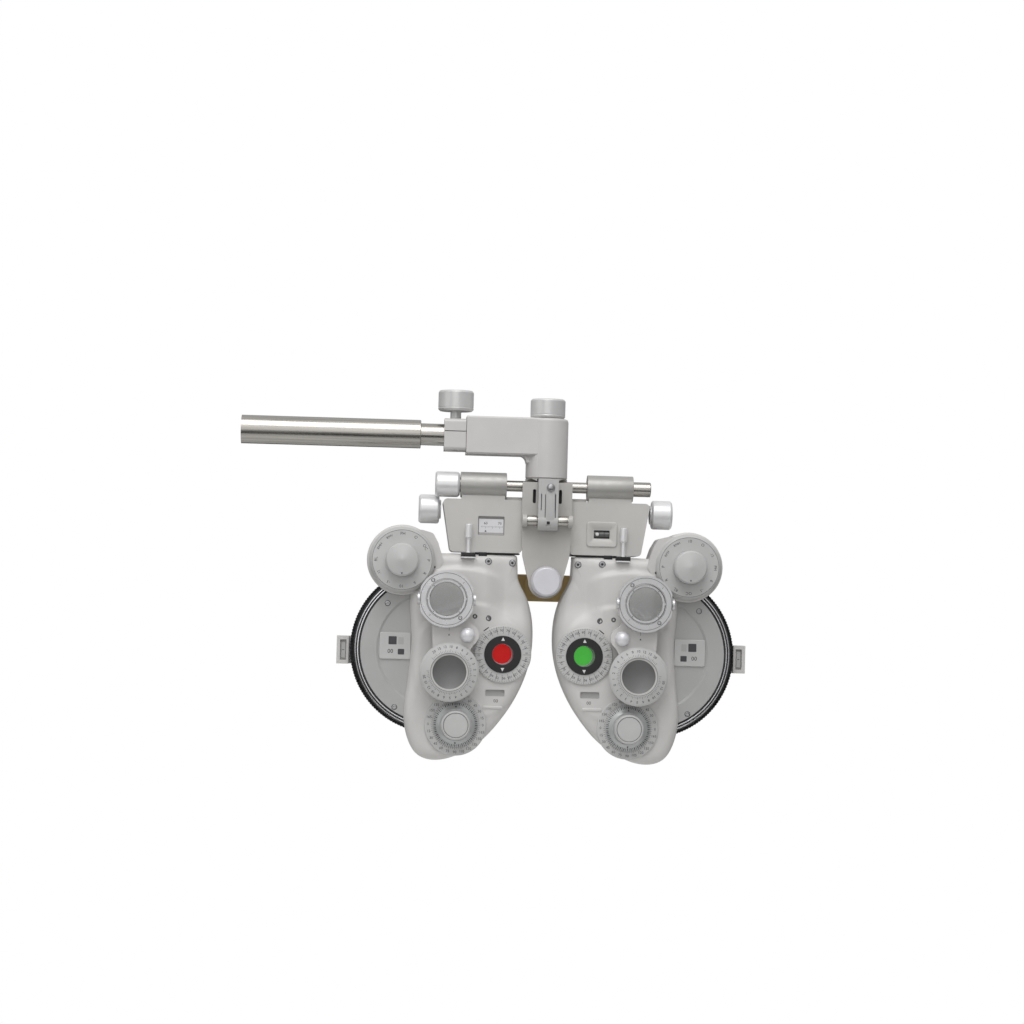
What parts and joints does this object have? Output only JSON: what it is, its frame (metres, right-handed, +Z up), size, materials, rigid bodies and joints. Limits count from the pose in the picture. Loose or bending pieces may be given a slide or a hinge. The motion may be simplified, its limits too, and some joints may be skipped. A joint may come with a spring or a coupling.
{
  "type": "phoropter",
  "caption": "Overhead-arm refraction head: two lens batteries with dials, turrets and prisms on a levelling guide shaft, with forehead rest.",
  "frame": {"origin": "centre of the arm rod's free end", "axes": "+X along the arm rod towards the head, -Y towards the examiner, +Z up"},
  "size_m": [0.4042, 0.0968, 0.2915],
  "materials": {
    "stainless": "polished stainless bar with fine lengthways streaks",
    "grey_paint": "warm light grey stove enamel, fine orange peel",
    "battery_paint": "warm off-white enamel, satin",
    "cast_grey": "light grey enamel",
    "satin_knob": "bead-blasted satin anodised",
    "white_knob": "satin silver-white anodised",
    "blue_grey_knob": "satin anodised, slightly blue",
    "dark_steel": "blackened steel",
    "brown_pad": "amber-brown smooth moulded forehead pad",
    "black_rim": "black anodised milled rim",
    "satin_disc": "satin machined",
    "dial_white": "white satin with black engraved numerals",
    "chrome_ball": "polished",
    "satin_ring": "satin anodised",
    "grey_ring": "grey anodised, turned",
    "black_face": "black satin with white markers",
    "red_filter": "red filter glass",
    "green_filter": "green filter glass"
  },
  "bodies": {
    "arm": {"arm_rod": "stainless"},
    "bracket": {"tilt_clamp": "grey_paint", "overhead_bracket": "grey_paint"},
    "tilt_knob": {"tilt_clamp_knob": "satin_knob"},
    "swivel": {"swivel_post": "stainless", "yoke": "grey_paint", "near_rod_pin": "stainless"},
    "rotation_knob": {"rotation_knob": "satin_knob"},
    "guide_bar": {"guide_shaft": "stainless", "levelling_link": "dark_steel", "pd_lead_screw": "stainless"},
    "levelling_knob": {"levelling_knob": "white_knob"},
    "near_rod_holder": {"near_rod_holder": "cast_grey"},
    "forehead_rest": {"forehead_bracket": "stainless", "forehead_rest_pad": "brown_pad"},
    "forehead_knob": {"forehead_knob": "blue_grey_knob"},
    "left_carriage": {"left_carriage": "grey_paint"},
    "left_pd_knob": {"left_pd_knob": "white_knob"},
    "left_battery": {"left_housing": "battery_paint", "left_back_cover": "battery_paint", "left_disc_axle": "dark_steel", "left_vergence_lever": "white_knob", "left_turret_pivot": "chrome_ball"},
    "left_weak_disc": {"left_weak_sphere_disc": "black_rim"},
    "left_strong_disc": {"left_strong_sphere_disc": "satin_disc"},
    "left_cylinder_disc": {"left_cylinder_disc": "satin_disc"},
    "left_aux_disc": {"left_aux_disc": "satin_disc", "left_sight_filter": "red_filter"},
    "left_aux_dial": {"left_aux_dial": "dial_white"},
    "left_aux_idler": {"left_aux_idler_gear": "dark_steel"},
    "left_strong_knob": {"left_strong_sphere_knob": "dial_white"},
    "left_turret": {"left_turret_arm": "battery_paint"},
    "left_cross_ring": {"left_cross_cylinder_ring": "satin_ring"},
    "left_cross_cell": {"left_cross_cylinder_cell": "satin_ring"},
    "left_prism": {"left_rotary_prism": "dial_white"},
    "left_cylinder_knob": {"left_cylinder_power_knob": "dial_white"},
    "left_axis_ring": {"left_cylinder_axis_ring": "grey_ring"},
    "left_axis_indicator": {"left_axis_indicator": "black_face"},
    "right_carriage": {"right_carriage": "grey_paint"},
    "right_pd_knob": {"right_pd_knob": "white_knob"},
    "right_battery": {"right_housing": "battery_paint", "right_back_cover": "battery_paint", "right_disc_axle": "dark_steel", "right_vergence_lever": "white_knob", "right_turret_pivot": "chrome_ball"},
    "right_weak_disc": {"right_weak_sphere_disc": "black_rim"},
    "right_strong_disc": {"right_strong_sphere_disc": "satin_disc"},
    "right_cylinder_disc": {"right_cylinder_disc": "satin_disc"},
    "right_aux_disc": {"right_aux_disc": "satin_disc", "right_sight_filter": "green_filter"},
    "right_aux_dial": {"right_aux_dial": "dial_white"},
    "right_aux_idler": {"right_aux_idler_gear": "dark_steel"},
    "right_strong_knob": {"right_strong_sphere_knob": "dial_white"},
    "right_turret": {"right_turret_arm": "battery_paint"},
    "right_cross_ring": {"right_cross_cylinder_ring": "satin_ring"},
    "right_cross_cell": {"right_cross_cylinder_cell": "satin_ring"},
    "right_prism": {"right_rotary_prism": "dial_white"},
    "right_cylinder_knob": {"right_cylinder_power_knob": "dial_white"},
    "right_axis_ring": {"right_cylinder_axis_ring": "grey_ring"},
    "right_axis_indicator": {"right_axis_indicator": "black_face"}
  },
  "joints": [
    {"name": "tilt", "type": "hinge", "parent": "arm", "child": "bracket", "pos_m": [0.17, 0, 0], "axis": [1, 0, 0], "range_deg": [-30, 30]},
    {"name": "tilt_knob_turn", "type": "hinge", "parent": "bracket", "child": "tilt_knob", "pos_m": [0.1688, 0, 0.025], "axis": [0, 0, 1], "range_deg": [0, 360]},
    {"name": "rotation", "type": "hinge", "parent": "bracket", "child": "swivel", "pos_m": [0.242, 0, -0.03], "axis": [0, 0, 1], "range_deg": [-90, 90]},
    {"name": "rotation_knob_turn", "type": "hinge", "parent": "bracket", "child": "rotation_knob", "pos_m": [0.242, 0, 0.022], "axis": [0, 0, 1], "range_deg": [0, 360]},
    {"name": "level", "type": "hinge", "parent": "swivel", "child": "guide_bar", "pos_m": [0.242, 0, -0.0395], "axis": [0, 1, 0], "range_deg": [-3, 3]},
    {"name": "near_rod_flip", "type": "hinge", "parent": "swivel", "child": "near_rod_holder", "pos_m": [0.242, -0.03, -0.067], "axis": [1, 0, 0], "range_deg": [0, 95]},
    {"name": "forehead_slide", "type": "slide", "parent": "swivel", "child": "forehead_rest", "axis": [0, 1, 0], "range_m": [-0.009, 0.002]},
    {"name": "forehead_knob_turn", "type": "hinge", "parent": "forehead_rest", "child": "forehead_knob", "pos_m": [0.242, -0.03, -0.1143], "axis": [0, 1, 0], "range_deg": [-1090, 250]},
    {"name": "left_pd_slide", "type": "slide", "parent": "guide_bar", "child": "left_carriage", "axis": [-1, 0, 0], "range_m": [-0.007, 0.008]},
    {"name": "left_pd_knob_turn", "type": "hinge", "parent": "left_carriage", "child": "left_pd_knob", "pos_m": [0.152, 0, -0.059], "axis": [-1, 0, 0], "range_deg": [-640, 730]},
    {"name": "left_vergence", "type": "hinge", "parent": "left_carriage", "child": "left_battery", "pos_m": [0.1972, -0.008, -0.093], "axis": [0, 0, 1], "range_deg": [0, 4.6]},
    {"name": "left_weak_sphere_turn", "type": "hinge", "parent": "left_battery", "child": "left_weak_disc", "pos_m": [0.1564, 0.003, -0.1695], "axis": [0, -1, 0], "continuous": true},
    {"name": "left_strong_disc_turn", "type": "hinge", "parent": "left_battery", "child": "left_strong_disc", "pos_m": [0.1564, 0, -0.1695], "axis": [0, -1, 0], "continuous": true},
    {"name": "left_cylinder_disc_turn", "type": "hinge", "parent": "left_battery", "child": "left_cylinder_disc", "pos_m": [0.1564, -0.003, -0.1695], "axis": [0, -1, 0], "continuous": true},
    {"name": "left_aux_disc_turn", "type": "hinge", "parent": "left_battery", "child": "left_aux_disc", "pos_m": [0.1564, -0.006, -0.1695], "axis": [0, -1, 0], "continuous": true},
    {"name": "left_aux_idler_turn", "type": "hinge", "parent": "left_battery", "child": "left_aux_idler", "pos_m": [0.14295, -0.009, -0.13485], "axis": [0, -1, 0], "continuous": true},
    {"name": "left_aux_dial_turn", "type": "hinge", "parent": "left_battery", "child": "left_aux_dial", "pos_m": [0.1295, -0.02, -0.1002], "axis": [0, -1, 0], "continuous": true},
    {"name": "left_strong_knob_turn", "type": "hinge", "parent": "left_battery", "child": "left_strong_knob", "pos_m": [0.1295, -0.03, -0.1002], "axis": [0, -1, 0], "continuous": true},
    {"name": "left_turret_swing", "type": "hinge", "parent": "left_battery", "child": "left_turret", "pos_m": [0.1817, -0.03, -0.1573], "axis": [0, -1, 0], "range_deg": [-149.4, 86.9]},
    {"name": "left_cross_ring_turn", "type": "hinge", "parent": "left_turret", "child": "left_cross_ring", "pos_m": [0.1647, -0.04, -0.1299], "axis": [0, -1, 0], "continuous": true},
    {"name": "left_cross_flip", "type": "hinge", "parent": "left_cross_ring", "child": "left_cross_cell", "pos_m": [0.1647, -0.0412, -0.1299], "axis": [1, 0, 0], "continuous": true},
    {"name": "left_prism_turn", "type": "hinge", "parent": "left_turret", "child": "left_prism", "pos_m": [0.1684, -0.038, -0.1865], "axis": [0, -1, 0], "continuous": true},
    {"name": "left_cylinder_knob_turn", "type": "hinge", "parent": "left_battery", "child": "left_cylinder_knob", "pos_m": [0.1745, -0.03, -0.2277], "axis": [0, -1, 0], "continuous": true},
    {"name": "left_axis_ring_turn", "type": "hinge", "parent": "left_battery", "child": "left_axis_ring", "pos_m": [0.1745, -0.025, -0.2277], "axis": [0, -1, 0], "continuous": true},
    {"name": "left_axis_indicator_turn", "type": "hinge", "parent": "left_battery", "child": "left_axis_indicator", "pos_m": [0.21, -0.025, -0.172], "axis": [0, -1, 0], "continuous": true},
    {"name": "right_pd_slide", "type": "slide", "parent": "guide_bar", "child": "right_carriage", "axis": [1, 0, 0], "range_m": [-0.007, 0.008]},
    {"name": "right_pd_knob_turn", "type": "hinge", "parent": "right_carriage", "child": "right_pd_knob", "pos_m": [0.332, 0, -0.059], "axis": [1, 0, 0], "range_deg": [-640, 730]},
    {"name": "right_vergence", "type": "hinge", "parent": "right_carriage", "child": "right_battery", "pos_m": [0.2868, -0.008, -0.093], "axis": [0, 0, -1], "range_deg": [0, 4.6]},
    {"name": "right_weak_sphere_turn", "type": "hinge", "parent": "right_battery", "child": "right_weak_disc", "pos_m": [0.3276, 0.003, -0.1695], "axis": [0, -1, 0], "continuous": true},
    {"name": "right_strong_disc_turn", "type": "hinge", "parent": "right_battery", "child": "right_strong_disc", "pos_m": [0.3276, 0, -0.1695], "axis": [0, -1, 0], "continuous": true},
    {"name": "right_cylinder_disc_turn", "type": "hinge", "parent": "right_battery", "child": "right_cylinder_disc", "pos_m": [0.3276, -0.003, -0.1695], "axis": [0, -1, 0], "continuous": true},
    {"name": "right_aux_disc_turn", "type": "hinge", "parent": "right_battery", "child": "right_aux_disc", "pos_m": [0.3276, -0.006, -0.1695], "axis": [0, -1, 0], "continuous": true},
    {"name": "right_aux_idler_turn", "type": "hinge", "parent": "right_battery", "child": "right_aux_idler", "pos_m": [0.34105, -0.009, -0.13485], "axis": [0, -1, 0], "continuous": true},
    {"name": "right_aux_dial_turn", "type": "hinge", "parent": "right_battery", "child": "right_aux_dial", "pos_m": [0.3545, -0.02, -0.1002], "axis": [0, -1, 0], "continuous": true},
    {"name": "right_strong_knob_turn", "type": "hinge", "parent": "right_battery", "child": "right_strong_knob", "pos_m": [0.3545, -0.03, -0.1002], "axis": [0, -1, 0], "continuous": true},
    {"name": "right_turret_swing", "type": "hinge", "parent": "right_battery", "child": "right_turret", "pos_m": [0.3023, -0.03, -0.1573], "axis": [0, -1, 0], "range_deg": [-86.9, 149.4]},
    {"name": "right_cross_ring_turn", "type": "hinge", "parent": "right_turret", "child": "right_cross_ring", "pos_m": [0.3193, -0.04, -0.1299], "axis": [0, -1, 0], "continuous": true},
    {"name": "right_cross_flip", "type": "hinge", "parent": "right_cross_ring", "child": "right_cross_cell", "pos_m": [0.3193, -0.0412, -0.1299], "axis": [1, 0, 0], "continuous": true},
    {"name": "right_prism_turn", "type": "hinge", "parent": "right_turret", "child": "right_prism", "pos_m": [0.3156, -0.038, -0.1865], "axis": [0, -1, 0], "continuous": true},
    {"name": "right_cylinder_knob_turn", "type": "hinge", "parent": "right_battery", "child": "right_cylinder_knob", "pos_m": [0.3095, -0.03, -0.2277], "axis": [0, -1, 0], "continuous": true},
    {"name": "right_axis_ring_turn", "type": "hinge", "parent": "right_battery", "child": "right_axis_ring", "pos_m": [0.3095, -0.025, -0.2277], "axis": [0, -1, 0], "continuous": true},
    {"name": "right_axis_indicator_turn", "type": "hinge", "parent": "right_battery", "child": "right_axis_indicator", "pos_m": [0.274, -0.025, -0.172], "axis": [0, -1, 0], "continuous": true},
    {"name": "levelling_knob_turn", "type": "hinge", "parent": "left_carriage", "child": "levelling_knob", "pos_m": [0.164, -0.01, -0.0395], "axis": [-1, 0, 0], "range_deg": [-60, 60]}
  ],
  "couplings": [
    {"joint": "forehead_knob_turn", "follows": "forehead_slide", "rad_per_m": 2094.4},
    {"joint": "left_pd_slide", "follows": "right_pd_slide", "ratio": 1},
    {"joint": "levelling_knob_turn", "follows": "level", "ratio": 18},
    {"joint": "left_vergence", "follows": "right_vergence", "ratio": 1},
    {"joint": "left_pd_knob_turn", "follows": "right_pd_slide", "rad_per_m": 1570.8},
    {"joint": "left_strong_knob_turn", "follows": "left_strong_disc_turn", "ratio": 1},
    {"joint": "left_aux_idler_turn", "follows": "left_aux_disc_turn", "ratio": -1.6429},
    {"joint": "left_aux_dial_turn", "follows": "left_aux_disc_turn", "ratio": 1},
    {"joint": "left_cylinder_knob_turn", "follows": "left_cylinder_disc_turn", "ratio": 1},
    {"joint": "left_axis_indicator_turn", "follows": "left_axis_ring_turn", "ratio": 1},
    {"joint": "left_cross_ring_turn", "follows": "left_axis_ring_turn", "ratio": 1},
    {"joint": "right_pd_knob_turn", "follows": "right_pd_slide", "rad_per_m": 1570.8},
    {"joint": "right_strong_knob_turn", "follows": "right_strong_disc_turn", "ratio": 1},
    {"joint": "right_aux_idler_turn", "follows": "right_aux_disc_turn", "ratio": -1.6429},
    {"joint": "right_aux_dial_turn", "follows": "right_aux_disc_turn", "ratio": 1},
    {"joint": "right_cylinder_knob_turn", "follows": "right_cylinder_disc_turn", "ratio": 1},
    {"joint": "right_axis_indicator_turn", "follows": "right_axis_ring_turn", "ratio": 1},
    {"joint": "right_cross_ring_turn", "follows": "right_axis_ring_turn", "ratio": 1}
  ]
}
